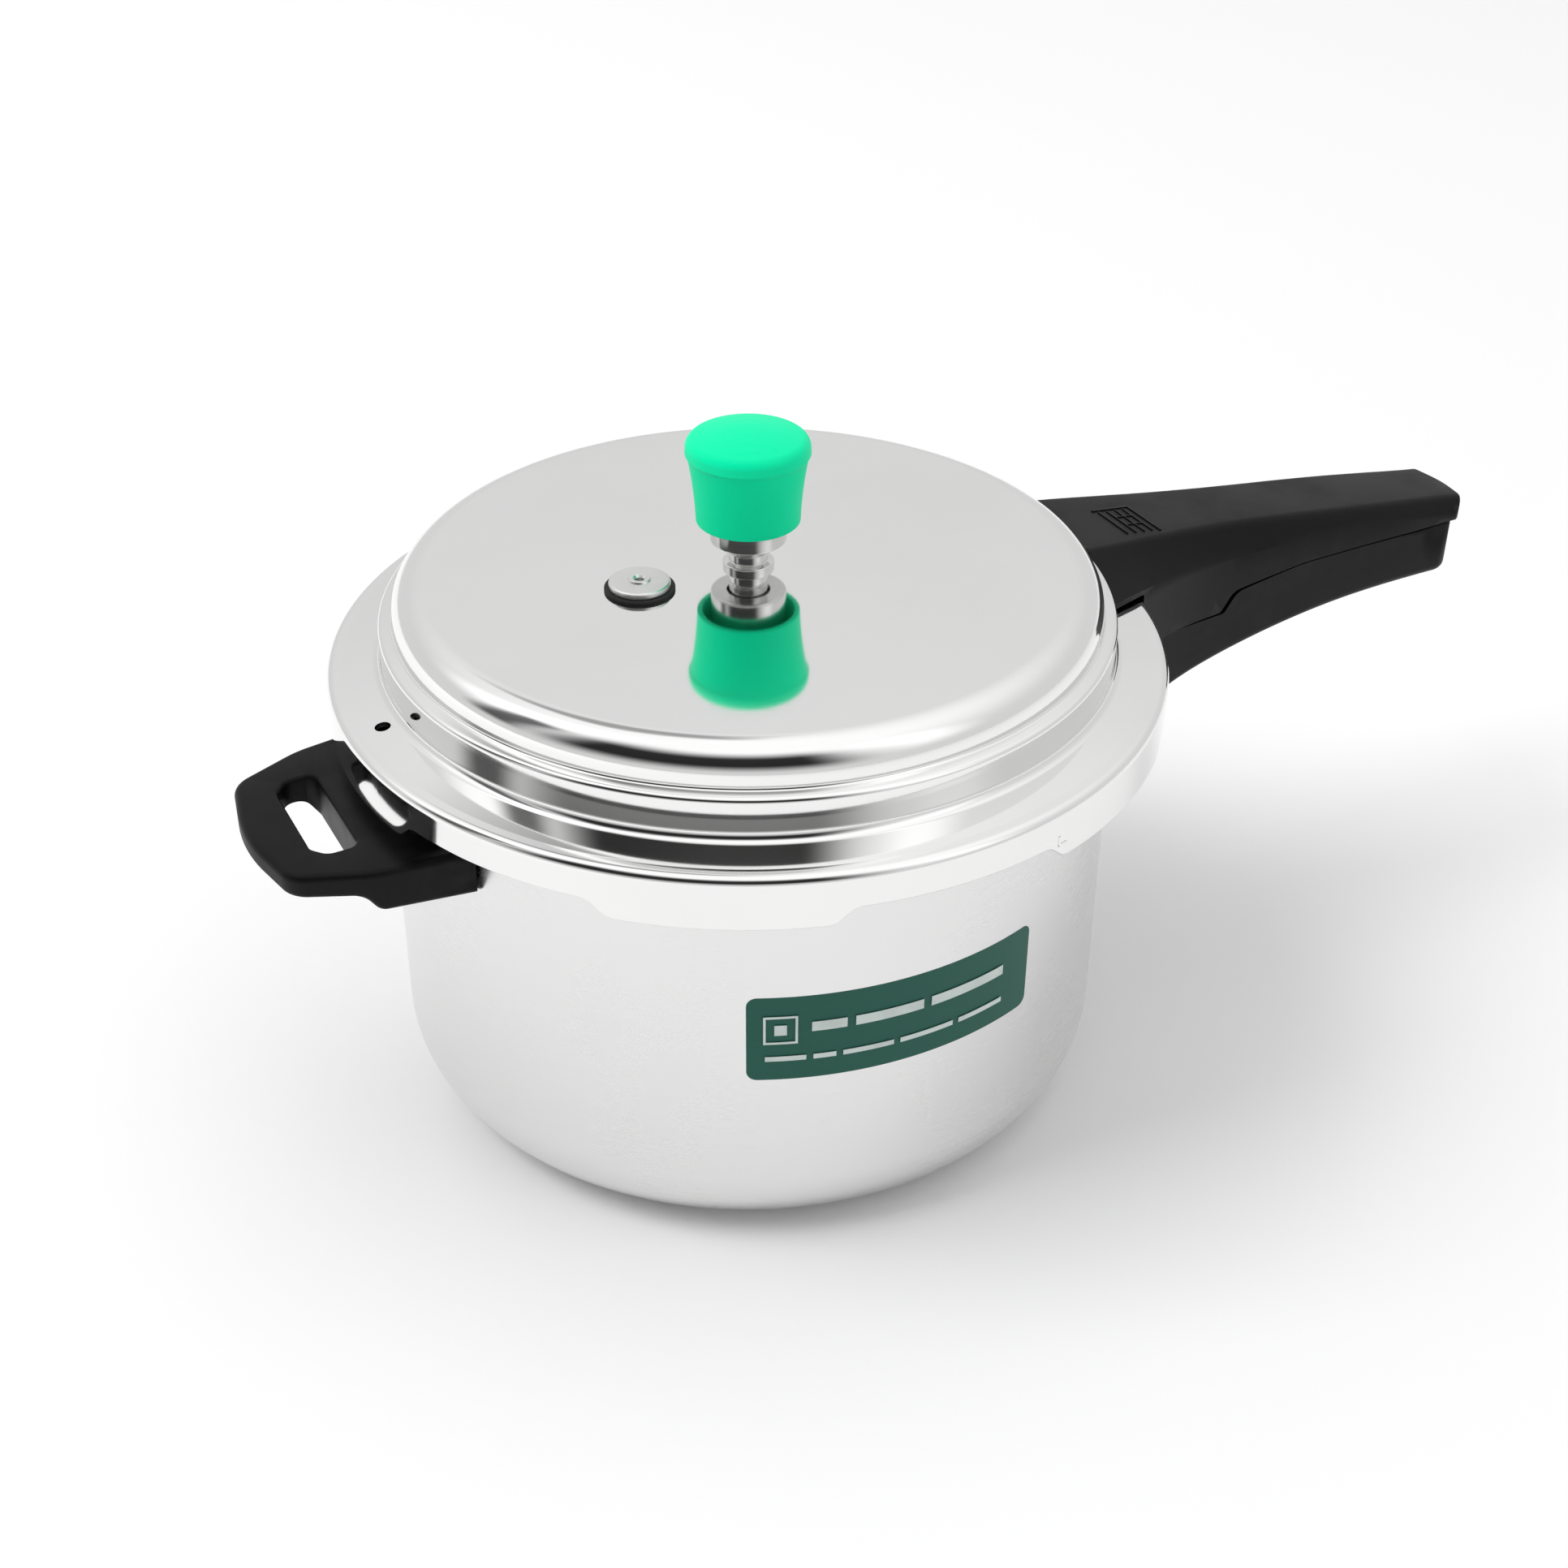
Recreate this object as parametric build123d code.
from build123d import *
from math import asin, cos, degrees, radians, sin, sqrt
import os

# Stovetop pressure cooker with a turn-on outer lid, in millimetres.
# The origin is the middle of the base on the stove, +Z is up, and the long handle points along +X.

# Pot
pot_radius = 110.0
pot_wall = 1.5
base_thickness = 3.2
base_corner = 24.4
rim_height = 133.5
rim_radius = 121.5
rim_gap_radius = 116.0
rim_lip_depth = 5.5

# Lid
lid_top = 167.0
lid_wall = 1.5
dome_radius = 105.0
shoulder_radius = 7.0
ring_radius = 109.1
flange_inner_radius = 112.6
skirt_radius = 125.3
skirt_bottom = 130.6
lug_bottom = 125.6
tab_inner_radius = 117.6

# Locking lugs, spaced evenly round the rim
lug_count = 6
lug_half_angle = 13.2
lug_ramp_angle = 3.6
tooth_half_angle = 13.5

# Clearances
moving_gap = 0.6
fitted_gap = 0.15

# Long handle
handle_end = 268.5
handle_nose_half_width = 16.4
handle_nose_corner = 7.0
handle_half_width = 18.4
handle_root_half_width = 38.5
lower_root_half_width = 33.0

# Safety valve and weight
safety_valve_x = -35.0
weight_seat = lid_top + 20.8
under_lid = lid_top - lid_wall
nut_top = under_lid - 1.4


# ---------------------------------------------------------------- helpers

def section(points, radii=0.0):
    """Closed face in the XZ plane; each point is (radius or x, height)."""
    if isinstance(radii, (int, float)):
        radii = [radii] * len(points)
    outline = FilletPolyline(*points, radius=radii, close=True)
    return make_face(Plane.XZ * outline)


def turned(points, radii=0.0):
    """Body of revolution about the vertical axis."""
    return revolve(section(points, radii), Axis.Z)


def ring(inner, outer, low, high):
    """Plain ring, or a disc where the inner radius is 0."""
    return turned([(inner, low), (outer, low), (outer, high), (inner, high)])


def upright(radius, low, high, x=0.0, y=0.0):
    """Upright cylinder between two heights."""
    return Pos(x, y, (low + high) / 2) * Cylinder(radius, high - low)


def block(x_range, y_range, z_range):
    """Box between two limits on each axis."""
    limits = (x_range, y_range, z_range)
    middle = [(low + high) / 2 for low, high in limits]
    return Pos(*middle) * Box(*[high - low for low, high in limits])


def wedge(centre, half_angle, low, high, reach=200.0):
    """Sector about the vertical axis, used to cut or keep part of a ring."""
    left = radians(centre - half_angle)
    right = radians(centre + half_angle)
    far = reach / cos(radians(half_angle))
    corners = [(0, 0), (far * cos(left), far * sin(left)), (far * cos(right), far * sin(right))]
    face = make_face(Polyline(*corners, close=True))
    return Pos(0, 0, low) * extrude(face, high - low)


def plan_body(points, radii, low, high):
    """Upright prism from an outline seen from above."""
    face = make_face(FilletPolyline(*points, radius=radii, close=True))
    return Pos(0, 0, low) * extrude(face, high - low)


def side_body(points, radii, half_width):
    """Prism across the handle from an outline seen from the side."""
    face = section(points, radii)
    return extrude(face, half_width, both=True)


def hexagon(across_flats, low, high, x=0.0, y=0.0, bore=0.0):
    """Hexagon nut blank with chamfered corners and a bore."""
    corner_radius = across_flats / sqrt(3)
    blank = Pos(x, y, low) * extrude(RegularPolygon(corner_radius, 6), high - low)
    chamfer_cone = Pos(x, y, 0) * turned([
        (0, low), (across_flats / 2, low), (corner_radius + 0.1, low + 0.6),
        (corner_radius + 0.1, high - 0.6), (across_flats / 2, high), (0, high),
    ])
    return (blank & chamfer_cone) - upright(bore, low - 1, high + 1, x, y)


def bolt_from_below(x, head_low, head_radius, head_height, shank_radius, tip, y=0.0):
    """Pan-head screw that points up, with a cross recess in its head."""
    shoulder = head_low + head_height
    outline = [
        (0, head_low), (head_radius, head_low), (head_radius, shoulder),
        (shank_radius, shoulder), (shank_radius, tip), (0, tip),
    ]
    body = turned(outline, [0, head_height * 0.45, 0, 0, shank_radius * 0.3, 0])
    arm = head_radius * 1.1
    cross = Box(arm, 0.9, 1.8) + Box(0.9, arm, 1.8)
    return Pos(x, y, 0) * (body - Pos(0, 0, head_low + 0.5) * cross)


# ---------------------------------------------------------------- pot

def make_pot_body():
    rim_low = rim_height - pot_wall
    lip_low = rim_height - rim_lip_depth
    inner = pot_radius - pot_wall
    outline = [
        (0, 0), (pot_radius, 0), (pot_radius, rim_low), (rim_radius - pot_wall, rim_low),
        (rim_radius - pot_wall, lip_low), (rim_radius, lip_low), (rim_radius, rim_height),
        (inner, rim_height), (inner, base_thickness), (0, base_thickness),
    ]
    radii = [0, base_corner, 2.5, 0.5, 0.4, 0.4, 2.0, 4.0, base_corner - base_thickness, 0]
    body = turned(outline, radii)
    gap_ring = ring(rim_gap_radius, rim_radius + 5, lip_low - 1, rim_height + 1)
    pitch = 360 / lug_count
    for index in range(lug_count):
        gap_centre = (index + 0.5) * pitch
        body -= gap_ring & wedge(gap_centre, pitch / 2 - tooth_half_angle, 100, 150)
    return body


label_low = 62.7
label_high = 91.5
label_centre = -93.5
label_half_angle = 23.55


def make_label():
    """Thin curved name plate; the design on it is left blank."""
    inner = pot_radius + 0.02
    shell = ring(inner, inner + 0.35, label_low, label_high)
    half_width = pot_radius * sin(radians(label_half_angle))
    blank = RectangleRounded(2 * half_width, label_high - label_low, 3.0)
    plate = extrude(Plane.XZ * blank, 60, dir=(0, -1, 0))
    plate = Pos(0, -pot_radius / 2 - 20, (label_low + label_high) / 2) * plate
    return shell & (Rot(0, 0, label_centre + 90) * plate)


tongue_thickness = 2.0
long_tongue_low = 107.0
helper_tongue_low = 112.4


def saddle_bracket(low, high, half_angle, tongue_low, tongue_tip, hole_x, half_width, side):
    """Curved plate welded to the pot, with a flat tongue that carries a handle."""
    direction = 0 if side > 0 else 180
    plate = ring(pot_radius, pot_radius + 1.6, low, high) & wedge(direction, half_angle, low, high)
    near = pot_radius + 0.8
    limits = sorted([side * near, side * tongue_tip])
    tongue = block(limits, (-half_width, half_width), (tongue_low, tongue_low + tongue_thickness))
    tip_edges = tongue.edges().filter_by(Axis.Z).sort_by(Axis.X)
    tongue = fillet(tip_edges[-2:] if side > 0 else tip_edges[:2], 4)
    tongue -= ring(0, near, tongue_low - 1, tongue_low + tongue_thickness + 1)
    hole = upright(2.75, tongue_low - 1, tongue_low + tongue_thickness + 1, side * hole_x)
    return plate + tongue - hole


long_screw_x = 138.0
helper_screw_x = 120.0


def make_long_bracket():
    return saddle_bracket(93, 113, 8.5, long_tongue_low, 150, long_screw_x, 9.0, 1)


def make_helper_bracket():
    return saddle_bracket(101, 118, 9.5, helper_tongue_low, 127.5, helper_screw_x, 9.5, -1)


# ---------------------------------------------------------------- long handle

def handle_plan(inset=0.0, root=handle_root_half_width, neck=31.2):
    """Outline of one half of the long handle seen from above, with a blunt round-cornered nose."""
    half_width = handle_nose_half_width - inset
    end = handle_end - 5 * inset
    nose_x = end - 12
    side = Spline(
        (104, inset - root), (122, inset - neck), (150, inset - 22.4),
        (184, inset - handle_half_width), (nose_x, -half_width), tangents=[(1, 0.4), (1, 0)],
    )
    other_side = mirror(side, about=Plane.XZ)
    nose = FilletPolyline(
        (nose_x, -half_width), (end - 3, -half_width), (end, 0), (end - 3, half_width),
        (nose_x, half_width), radius=[handle_nose_corner, 30, handle_nose_corner],
    )
    back = Line(side @ 0, other_side @ 0)
    return make_face(Wire([*side.edges(), *nose.edges(), *other_side.edges(), back.edge()]))


def parting_line(drop, step_shift, end=280):
    """Line between the two halves seen from the side, from the root to the end."""
    points = [
        (100, 122.4 - drop), (142, 121.4 - drop), (161.5 + step_shift, 120.8 - drop),
        (166.5 + step_shift, 127.2 - drop), (196, 129.8 - drop), (end, 130.2 - drop),
    ]
    return FilletPolyline(*points, radius=[30, 2.5, 6, 60])


def side_prism(lower_line, upper_line):
    """Prism across the handle between two lines seen from the side."""
    root = Line(lower_line @ 0, upper_line @ 0)
    end = Line(lower_line @ 1, upper_line @ 1)
    edges = [*lower_line.edges(), end.edge(), *upper_line.edges(), root.edge()]
    return extrude(make_face(Plane.XZ * Wire(edges)), 60, both=True)


# Sections of the upper half: x, half width and height of the shoulders, half width and height of the top
upper_sections = [
    (98.0, 44.0, 143.8, 19.0, 156.4), (122.0, 33.4, 142.4, 18.0, 154.2), (150.0, 23.4, 139.4, 15.6, 151.4),
    (184.0, 18.8, 138.4, 14.2, 147.6), (228.0, 17.4, 136.6, 13.4, 142.2), (275.0, 16.8, 132.2, 12.8, 135.6),
]


def flared_block():
    """Block under a top that is narrow and flat at the root, with sides that flare down to the shoulders."""
    sections = []
    for x, shoulder, shoulder_height, top, top_height in upper_sections:
        corners = [
            (-shoulder, 90), (-shoulder, shoulder_height), (-top, top_height), (top, top_height),
            (shoulder, shoulder_height), (shoulder, 90),
        ]
        across = Plane(origin=(x, 0, 0), x_dir=(0, 1, 0), z_dir=(1, 0, 0))
        sections.append(across * make_face(Polyline(*corners, close=True)))
    return loft(sections)


def make_upper_handle():
    above_parting = side_prism(parting_line(0, 0), Line((100, 200), (280, 200)))
    flared = flared_block()
    creases = [edge for edge in flared.edges() if edge.length > 100 and edge.center().Z > 120]
    body = extrude(handle_plan(), 200) & above_parting & fillet(creases, 4.0)
    body -= offset_lid_space()
    body -= upper_handle_pocket()
    return body


def offset_lid_space():
    """Space that the lid, and the flange below the handle's root, must keep."""
    gap = 0.4
    return turned([
        (0, 90), (skirt_radius + gap, 90), (skirt_radius + gap, 142.5),
        (ring_radius + gap + 1.2, 144.0), (ring_radius + gap, 145.4), (ring_radius + gap, 155.0),
        (dome_radius + gap, 157.2), (dome_radius + gap, 170), (0, 170),
    ], [0, 0, 1.0, 0, 0, 0, 0, 0, 0])


bracket_low = 143.0
bracket_high = 145.0
upper_screw_places = (132.5, 146.5)
insert_top = 150.4


def upper_handle_pocket():
    """Channel below the lid bracket, seats for its inserts, and a lightening pocket."""
    channel = block((120, 156), (-12.5, 12.5), (100, bracket_high + fitted_gap))
    root_slot = block((100, 121), (-12.5, 12.5), (140, bracket_high + fitted_gap))
    pocket = channel + root_slot
    for x in upper_screw_places:
        pocket += upright(3.4, bracket_high, insert_top + fitted_gap, x)
    core = side_body([(172, 110), (250, 110), (250, 132.2), (172, 140.2)], [0, 0, 4, 4], 10.5)
    return pocket + core


def make_lower_handle():
    under_line = Spline(
        (100, 83.0), (122, 92.4), (140, 98.4), (164, 103.2), (199, 107.8), (260, 110.6),
        tangents=[(1, 0.5), (1, 0)],
    )
    top_line = parting_line(moving_gap + 0.3, 2.0, 267.5)
    plan = handle_plan(0.5, lower_root_half_width, 28.0)
    body = extrude(plan, 200) & side_prism(under_line, top_line)
    under_edges = [
        edge for edge in body.edges()
        if edge.center().Z < 113 and edge.length > 30 and edge.center().X > 120
    ]
    body = fillet(under_edges, 3.5)
    body -= ring(0, pot_radius + 0.35, 60, 130)
    body -= lower_handle_pockets()
    return body


long_washer_low = long_tongue_low - 7.2
long_washer_high = long_washer_low + 1.0


def lower_handle_pockets():
    """Seats for the pot bracket, its nut and its screw."""
    seat = ring(pot_radius - 2, pot_radius + 1.6 + fitted_gap, 92.7, 113.3)
    seat &= wedge(0, 8.8, 80, 120)
    tongue_high = long_tongue_low + tongue_thickness
    slot = block((108, 150.4), (-9.2, 9.2), (long_tongue_low - fitted_gap, tongue_high + fitted_gap))
    nut_seat = block((long_screw_x - 4.7, long_screw_x + 4.7), (-4.3, 4.3),
                     (tongue_high, tongue_high + 4.6))
    shank = upright(2.8, long_washer_low, long_tongue_low + 8, long_screw_x)
    counterbore = upright(5.2, 60, long_washer_high, long_screw_x)
    return seat + slot + nut_seat + shank + counterbore


def make_lower_handle_washer():
    return Pos(long_screw_x, 0, 0) * ring(2.75, 5.0, long_washer_low, long_washer_high)


def make_lower_handle_screw():
    return bolt_from_below(long_screw_x, long_washer_low - 3.2, 4.4, 3.2, 2.45, long_tongue_low + 7.2)


def make_lower_handle_nut():
    low = long_tongue_low + tongue_thickness
    return hexagon(8.0, low, low + 4.0, long_screw_x, 0, 2.5)


# ---------------------------------------------------------------- helper handle

def make_helper_handle():
    corners = [
        (-104, -39.5), (-132, -35.8), (-153, -27.0), (-158.5, 0), (-153, 27.0), (-132, 35.8),
        (-104, 39.5),
    ]
    plan = plan_body(corners, [0, 30, 9, 60, 9, 30, 0], 90, 130)
    profile = [
        (-100, 120.6), (-100, 106.6), (-130.5, 106.6), (-134.5, 112.0), (-160, 112.4),
        (-160, 119.2),
    ]
    body = plan & side_body(profile, [0, 0, 4, 5, 0, 0], 60)
    rim = [
        edge for edge in body.edges()
        if edge.center().Z > 118.5 and edge.center().X < -105 and abs(edge.center().X + 104) > 2
    ]
    body = fillet(rim, 2.2)
    under = [edge for edge in body.edges() if edge.center().Z < 113 and edge.center().X < -136]
    body = fillet(under, 1.8)
    slot = plan_body([(-143.2, -15.5), (-143.2, 15.5), (-139.5, 20.0), (-130.8, 20.0),
                      (-130.8, -20.0), (-139.5, -20.0)], [4, 4, 4, 3, 3, 4], 90, 130)
    body -= slot
    lips = [
        edge for edge in body.edges()
        if edge.center().Z > 118 and -144 < edge.center().X < -130 and abs(edge.center().Y) < 21
    ]
    body = fillet(lips, 1.4)
    body -= ring(0, pot_radius + 0.35, 60, 125)
    body -= helper_pockets()
    return body


def helper_pockets():
    """Seats for the helper bracket, its nut and its screw."""
    seat = ring(pot_radius - 2, pot_radius + 1.6 + fitted_gap, 100.7, 118.3)
    seat &= wedge(180, 9.8, 90, 130)
    high = helper_tongue_low + tongue_thickness
    slot = block((-127.9, -108), (-9.7, 9.7), (helper_tongue_low - fitted_gap, high + fitted_gap))
    nut_seat = block((-helper_screw_x - 4.2, -helper_screw_x + 4.2), (-3.7, 3.7), (high, high + 3.2))
    shank = upright(2.8, 100, 115, -helper_screw_x)
    counterbore = upright(4.6, 100, 109.6, -helper_screw_x)
    return seat + slot + nut_seat + shank + counterbore


def make_helper_washer():
    return Pos(-helper_screw_x, 0, 0) * ring(2.2, 4.4, 108.8, 109.6)


def make_helper_screw():
    return bolt_from_below(-helper_screw_x, 106.8, 3.6, 2.0, 1.95, 117.3)


def make_helper_nut():
    low = helper_tongue_low + tongue_thickness
    return hexagon(7.0, low, low + 2.8, -helper_screw_x, 0, 2.0)


# ---------------------------------------------------------------- lid

def lid_outline(inset):
    """Half section of the lid's face, moved inwards by the inset."""
    return [
        (0, lid_top - inset), (dome_radius - inset, lid_top - inset),
        (dome_radius - inset, 155.9 - inset), (ring_radius - inset, 155.1 - inset),
        (ring_radius - inset, 143.2 - inset * 0.9), (flange_inner_radius + 8, 141.75 - inset),
        (skirt_radius - inset, 141.35 - inset), (skirt_radius - inset, lug_bottom),
    ]


outer_radii = [0, shoulder_radius, 0.9, 1.5, 2.8, 0, 2.6, 0]


def filled_lid():
    """Solid inside the lid's outer face, used to shape what rests on it."""
    return turned(lid_outline(0) + [(0, lug_bottom)], outer_radii + [0])


def make_lid_shell():
    outer = lid_outline(0)
    inner = lid_outline(lid_wall)
    inner.reverse()
    inner_radii = [shoulder_radius - lid_wall, 2.2, 0.5, 2.8 + lid_wall, 0, 1.2]
    inner_radii.reverse()
    shell = turned(outer + inner, outer_radii + [0] + inner_radii + [0])
    shell -= skirt_scallops()
    shell += locking_tabs()
    shell -= gasket_window()
    shell -= upright(2.3, 135, 150, -114.8)
    shell -= upright(5.3, 150, lid_top + 5)
    shell -= upright(6.6, 150, lid_top + 5, safety_valve_x)
    return shell


def skirt_scallops():
    """Cut-outs that leave the skirt deep only at the lugs, with sloping ends."""
    pitch = 360 / lug_count
    cutter = None
    for index in range(lug_count):
        centre = (index + 0.5) * pitch
        deep = radians(pitch / 2 - lug_half_angle)
        shallow = radians(pitch / 2 - lug_half_angle - lug_ramp_angle)
        reach = skirt_radius
        corners = [
            (-reach * deep, lug_bottom - 3), (-reach * deep, lug_bottom),
            (-reach * shallow, skirt_bottom), (reach * shallow, skirt_bottom),
            (reach * deep, lug_bottom), (reach * deep, lug_bottom - 3),
        ]
        face = section(corners, [0, 3, 5, 5, 3, 0])
        scallop = extrude(face, 30, dir=(0, -1, 0))
        scallop = Rot(0, 0, centre + 90) * (Pos(0, -reach + 20, 0) * scallop)
        cutter = scallop if cutter is None else cutter + scallop
    return cutter


def locking_tabs():
    """Inward tabs at the lugs, which turn under the teeth of the pot's rim."""
    band = ring(tab_inner_radius, skirt_radius - 0.8, lug_bottom, lug_bottom + lid_wall)
    tabs = None
    for index in range(lug_count):
        tab = band & wedge(index * 360 / lug_count, lug_half_angle, 100, 150)
        tabs = tab if tabs is None else tabs + tab
    return tabs


def gasket_window():
    """Slot in the skirt through which the gasket gives way at too high a pressure."""
    band = ring(skirt_radius - 4, skirt_radius + 3, 100, 160)
    tab_top = lug_bottom + lid_wall
    tall = wedge(-165.9, 5.6, tab_top, 138.2)
    low = wedge(-174.2, 3.0, tab_top, skirt_bottom)
    return band & (tall + low)


def make_gasket():
    """Rubber ring with two lips that the steam pushes apart."""
    low = rim_height + 0.2
    high = 139.7
    outline = [
        (112.4, low), (123.2, low + 0.2), (123.4, high - 0.5), (121.5, high - 0.1),
        (112.4, high - 0.3), (112.6, high - 1.9), (118.0, high - 2.3), (118.0, low + 2.1),
        (112.6, low + 1.5),
    ]
    return turned(outline, [0.5, 0.9, 0.8, 0, 0.5, 0.4, 0.7, 0.7, 0.4])


# ---------------------------------------------------------------- lid fittings

def make_lid_bracket():
    """Steel tongue welded to the lid's flange, which the upper handle is screwed to."""
    tongue = block((113.4, 153), (-11, 11), (bracket_low, bracket_high))
    tip_edges = tongue.edges().filter_by(Axis.Z).sort_by(Axis.X)
    tongue = fillet(tip_edges[-2:], 4)
    foot = block((113.4, 120.5), (-11, 11), (140.5, bracket_low + 0.5))
    foot -= filled_lid()
    bracket = tongue + foot
    for x in upper_screw_places:
        bracket -= upright(2.2, 140, 150, x)
    return bracket


def make_upper_handle_screws():
    screws = [
        bolt_from_below(x, bracket_low - 3.2, 3.8, 2.4, 1.95, insert_top - 0.8)
        for x in upper_screw_places
    ]
    return Compound(children=screws)


def make_upper_handle_washers():
    washers = [Pos(x, 0, 0) * ring(2.1, 4.3, bracket_low - 0.8, bracket_low)
               for x in upper_screw_places]
    return Compound(children=washers)


def make_upper_handle_inserts():
    """Knurled brass inserts moulded into the handle."""
    inserts = [Pos(x, 0, 0) * ring(2.0, 3.4, bracket_high + 0.02, insert_top)
               for x in upper_screw_places]
    return Compound(children=inserts)


def make_vent_pipe():
    """Steam nozzle that the weight sits on, threaded through the middle of the lid."""
    bore = 1.4
    top = weight_seat
    outline = [
        (bore, lid_top - 13.3), (5.0, lid_top - 13.3), (5.0, lid_top), (7.6, lid_top), (7.6, lid_top + 1.5),
        (5.8, lid_top + 2.1), (5.8, lid_top + 4.6), (5.1, lid_top + 4.9), (5.1, lid_top + 5.5),
        (5.8, lid_top + 5.8), (5.8, lid_top + 10.2), (4.2, lid_top + 11.4), (4.2, top - 2.2),
        (2.6, top), (bore, top),
    ]
    return turned(outline, [0, 0.6, 0, 0.4, 0.3, 0, 0, 0, 0, 0, 0.3, 0, 0.5, 0.2, 0])


def make_vent_washer():
    return ring(5.15, 9.5, nut_top, under_lid)


def make_vent_nut():
    return hexagon(15.0, nut_top - 5.5, nut_top, 0, 0, 5.05)


def make_safety_valve_seal():
    top = lid_top + 1.0
    outline = [
        (5.1, under_lid), (6.4, under_lid), (6.4, lid_top), (10.3, lid_top), (10.3, top), (5.1, top),
    ]
    return Pos(safety_valve_x, 0, 0) * turned(outline, [0, 0, 0, 0.2, 0.3, 0])


def make_safety_valve():
    """Plug with a round head, a raised ring in its middle and a bore for the fusible metal."""
    low = lid_top + 1.0
    outline = [
        (2.0, lid_top - 12.8), (5.0, lid_top - 12.8), (5.0, low), (9.0, low), (9.0, low + 1.5), (8.4, low + 1.9),
        (3.4, low + 2.1), (3.0, low + 2.7), (2.0, low + 2.7), (1.3, low + 2.0), (1.3, low + 1.0),
        (2.0, low + 1.0),
    ]
    return Pos(safety_valve_x, 0, 0) * turned(outline, [0, 0.5, 0, 0.3, 0.4, 0.4, 0, 0.3, 0.2, 0, 0, 0])


def make_fusible_plug():
    """Low-melting metal that closes the safety valve's bore."""
    return upright(2.0, lid_top - 11.8, lid_top + 2.0, safety_valve_x)


def make_safety_valve_washer():
    return Pos(safety_valve_x, 0, 0) * ring(5.15, 9.0, nut_top, under_lid)


def make_safety_valve_nut():
    return hexagon(14.0, nut_top - 5.0, nut_top, safety_valve_x, 0, 5.05)


# ---------------------------------------------------------------- weight

def make_weight_core():
    """Steel body of the weight, bored to sit over the vent pipe."""
    z = lid_top
    outline = [
        (6.4, z + 8.1), (11.2, z + 8.1), (11.2, z + 29.6), (7.6, z + 29.6), (7.6, z + 36.0),
        (3.1, z + 36.0), (3.1, z + 23.4), (4.6, z + 23.4), (4.6, z + 12.2), (6.4, z + 12.2),
    ]
    return turned(outline, [0.3, 0.7, 0, 0, 0.5, 0.3, 0, 0.3, 0, 0])


def make_weight_pin():
    """Pointed pin that closes the vent pipe's bore."""
    z = lid_top
    outline = [
        (0, weight_seat - 1.2), (1.1, weight_seat + 0.15), (3.0, weight_seat + 0.5),
        (3.0, z + 35.0), (0, z + 35.0),
    ]
    return turned(outline, [0, 0, 0.2, 0.4, 0])


def make_weight_ring():
    """Spring ring that holds the cap on the core."""
    return ring(7.7, 9.4, lid_top + 29.7, lid_top + 30.7)


def make_weight_cap():
    """Heat-resistant cap: a bell that widens upwards to a sharp rim, below a domed top."""
    z = lid_top
    rim = (17.55, z + 34.9)
    band = (18.25, z + 35.9)
    edge_radius = 16.2
    edge_height = z + 40.6
    crown_radius = 56.0
    crown_angle = degrees(asin(edge_radius / crown_radius))
    crown_centre = edge_height - crown_radius * cos(radians(crown_angle))
    bell = Spline((15.3, z + 14.7), (15.9, z + 22.5), rim, tangents=[(0, 1), (0.28, 1)])
    shoulder = ThreePointArc(band, (17.9, z + 38.9), (edge_radius, edge_height))
    crown = CenterArc((0, crown_centre), crown_radius, 90 - crown_angle, crown_angle)
    inside = Polyline(
        crown @ 1, (0, z + 36.4), (7.7, z + 36.4), (7.7, z + 30.8), (13.6, z + 30.8),
        (13.7, z + 14.7), bell @ 0,
    )
    curves = [bell, Line(rim, band), shoulder, crown, inside]
    edges = [edge for curve in curves for edge in curve.edges()]
    return revolve(make_face(Plane.XZ * Wire(edges)), Axis.Z)


# ---------------------------------------------------------------- nodes

nodes = {
    "pot_body": make_pot_body,
    "name_plate": make_label,
    "long_handle_bracket": make_long_bracket,
    "lower_handle": make_lower_handle,
    "lower_handle_washer": make_lower_handle_washer,
    "lower_handle_screw": make_lower_handle_screw,
    "lower_handle_nut": make_lower_handle_nut,
    "helper_bracket": make_helper_bracket,
    "helper_handle": make_helper_handle,
    "helper_handle_washer": make_helper_washer,
    "helper_handle_screw": make_helper_screw,
    "helper_handle_nut": make_helper_nut,
    "gasket": make_gasket,
    "lid_shell": make_lid_shell,
    "lid_bracket": make_lid_bracket,
    "upper_handle": make_upper_handle,
    "upper_handle_screws": make_upper_handle_screws,
    "upper_handle_washers": make_upper_handle_washers,
    "upper_handle_inserts": make_upper_handle_inserts,
    "vent_pipe": make_vent_pipe,
    "vent_pipe_washer": make_vent_washer,
    "vent_pipe_nut": make_vent_nut,
    "safety_valve_seal": make_safety_valve_seal,
    "safety_valve": make_safety_valve,
    "fusible_plug": make_fusible_plug,
    "safety_valve_washer": make_safety_valve_washer,
    "safety_valve_nut": make_safety_valve_nut,
    "weight_core": make_weight_core,
    "weight_pin": make_weight_pin,
    "weight_ring": make_weight_ring,
    "weight_cap": make_weight_cap,
}

os.makedirs("parts", exist_ok=True)
for name, make in nodes.items():
    export_step(make(), f"parts/{name}.step")
